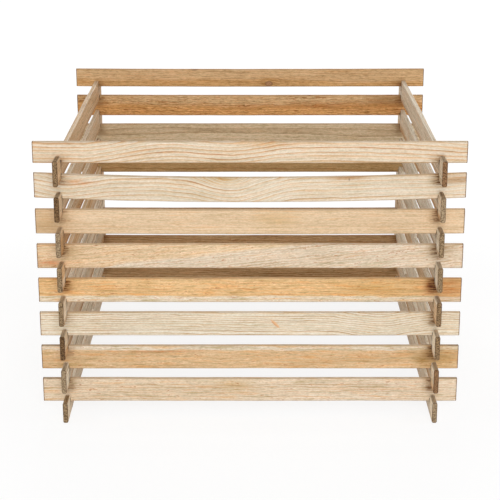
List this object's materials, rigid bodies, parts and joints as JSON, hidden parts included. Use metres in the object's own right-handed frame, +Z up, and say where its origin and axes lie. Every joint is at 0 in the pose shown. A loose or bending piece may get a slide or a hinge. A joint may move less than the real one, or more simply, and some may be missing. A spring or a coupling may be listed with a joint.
{
  "type": "wooden composter",
  "caption": "Square open bin of notched wooden boards stacked crosswise like a log cabin, with air gaps between the boards, for making garden compost.",
  "frame": {"origin": "centre of the square footprint at ground level, under the lowest side boards", "axes": "+X to the right along the front boards, +Y to the back, +Z up; the front faces -Y"},
  "size_m": [1, 1, 0.68],
  "materials": {
    "cream_pine": "planed pine, pale cream with fine orange grain lines, dull",
    "beige_pine": "planed pine, pinkish beige with fine streaks, dull",
    "golden_pine": "planed pine, golden orange heartwood beside a pale band, dull",
    "tan_pine": "planed pine, tan with paler slanting streaks, dull",
    "brown_pine": "planed pine, brownish tan, dull",
    "grey_pine": "planed pine, greyish brown with rough dark sawn ends, dull"
  },
  "bodies": {
    "side_pair_1": {"left_board_1": "grey_pine", "right_board_1": "grey_pine"},
    "front_back_pair_1": {"front_board_1": "beige_pine", "back_board_1": "brown_pine"},
    "side_pair_2": {"left_board_2": "grey_pine", "right_board_2": "grey_pine"},
    "front_back_pair_2": {"front_board_2": "golden_pine", "back_board_2": "brown_pine"},
    "side_pair_3": {"left_board_3": "grey_pine", "right_board_3": "grey_pine"},
    "front_back_pair_3": {"front_board_3": "cream_pine", "back_board_3": "brown_pine"},
    "side_pair_4": {"left_board_4": "grey_pine", "right_board_4": "grey_pine"},
    "front_back_pair_4": {"front_board_4": "golden_pine", "back_board_4": "brown_pine"},
    "side_pair_5": {"left_board_5": "grey_pine", "right_board_5": "grey_pine"},
    "front_back_pair_5": {"front_board_5": "tan_pine", "back_board_5": "brown_pine"},
    "side_pair_6": {"left_board_6": "grey_pine", "right_board_6": "grey_pine"},
    "front_back_pair_6": {"front_board_6": "cream_pine", "back_board_6": "brown_pine"},
    "side_pair_7": {"left_board_7": "grey_pine", "right_board_7": "grey_pine"},
    "front_back_pair_7": {"front_board_7": "cream_pine", "back_board_7": "brown_pine"},
    "side_pair_8": {"left_board_8": "grey_pine", "right_board_8": "grey_pine"},
    "front_board_8": {"front_board_8": "cream_pine"},
    "back_board_8": {"back_board_8": "brown_pine"}
  },
  "joints": [
    {"name": "front_back_pair_1_lift", "type": "slide", "parent": "side_pair_1", "child": "front_back_pair_1", "axis": [0, 0, 1], "range_m": [0, 0.02]},
    {"name": "side_pair_2_lift", "type": "slide", "parent": "front_back_pair_1", "child": "side_pair_2", "axis": [0, 0, 1], "range_m": [0, 0.02]},
    {"name": "front_back_pair_2_lift", "type": "slide", "parent": "side_pair_2", "child": "front_back_pair_2", "axis": [0, 0, 1], "range_m": [0, 0.02]},
    {"name": "side_pair_3_lift", "type": "slide", "parent": "front_back_pair_2", "child": "side_pair_3", "axis": [0, 0, 1], "range_m": [0, 0.02]},
    {"name": "front_back_pair_3_lift", "type": "slide", "parent": "side_pair_3", "child": "front_back_pair_3", "axis": [0, 0, 1], "range_m": [0, 0.02]},
    {"name": "side_pair_4_lift", "type": "slide", "parent": "front_back_pair_3", "child": "side_pair_4", "axis": [0, 0, 1], "range_m": [0, 0.02]},
    {"name": "front_back_pair_4_lift", "type": "slide", "parent": "side_pair_4", "child": "front_back_pair_4", "axis": [0, 0, 1], "range_m": [0, 0.02]},
    {"name": "side_pair_5_lift", "type": "slide", "parent": "front_back_pair_4", "child": "side_pair_5", "axis": [0, 0, 1], "range_m": [0, 0.02]},
    {"name": "front_back_pair_5_lift", "type": "slide", "parent": "side_pair_5", "child": "front_back_pair_5", "axis": [0, 0, 1], "range_m": [0, 0.02]},
    {"name": "side_pair_6_lift", "type": "slide", "parent": "front_back_pair_5", "child": "side_pair_6", "axis": [0, 0, 1], "range_m": [0, 0.02]},
    {"name": "front_back_pair_6_lift", "type": "slide", "parent": "side_pair_6", "child": "front_back_pair_6", "axis": [0, 0, 1], "range_m": [0, 0.02]},
    {"name": "side_pair_7_lift", "type": "slide", "parent": "front_back_pair_6", "child": "side_pair_7", "axis": [0, 0, 1], "range_m": [0, 0.02]},
    {"name": "front_back_pair_7_lift", "type": "slide", "parent": "side_pair_7", "child": "front_back_pair_7", "axis": [0, 0, 1], "range_m": [0, 0.02]},
    {"name": "side_pair_8_lift", "type": "slide", "parent": "front_back_pair_7", "child": "side_pair_8", "axis": [0, 0, 1], "range_m": [0, 0.02]},
    {"name": "front_board_8_lift", "type": "slide", "parent": "side_pair_8", "child": "front_board_8", "axis": [0, 0, 1], "range_m": [0, 0.05]},
    {"name": "back_board_8_lift", "type": "slide", "parent": "side_pair_8", "child": "back_board_8", "axis": [0, 0, 1], "range_m": [0, 0.05]}
  ]
}
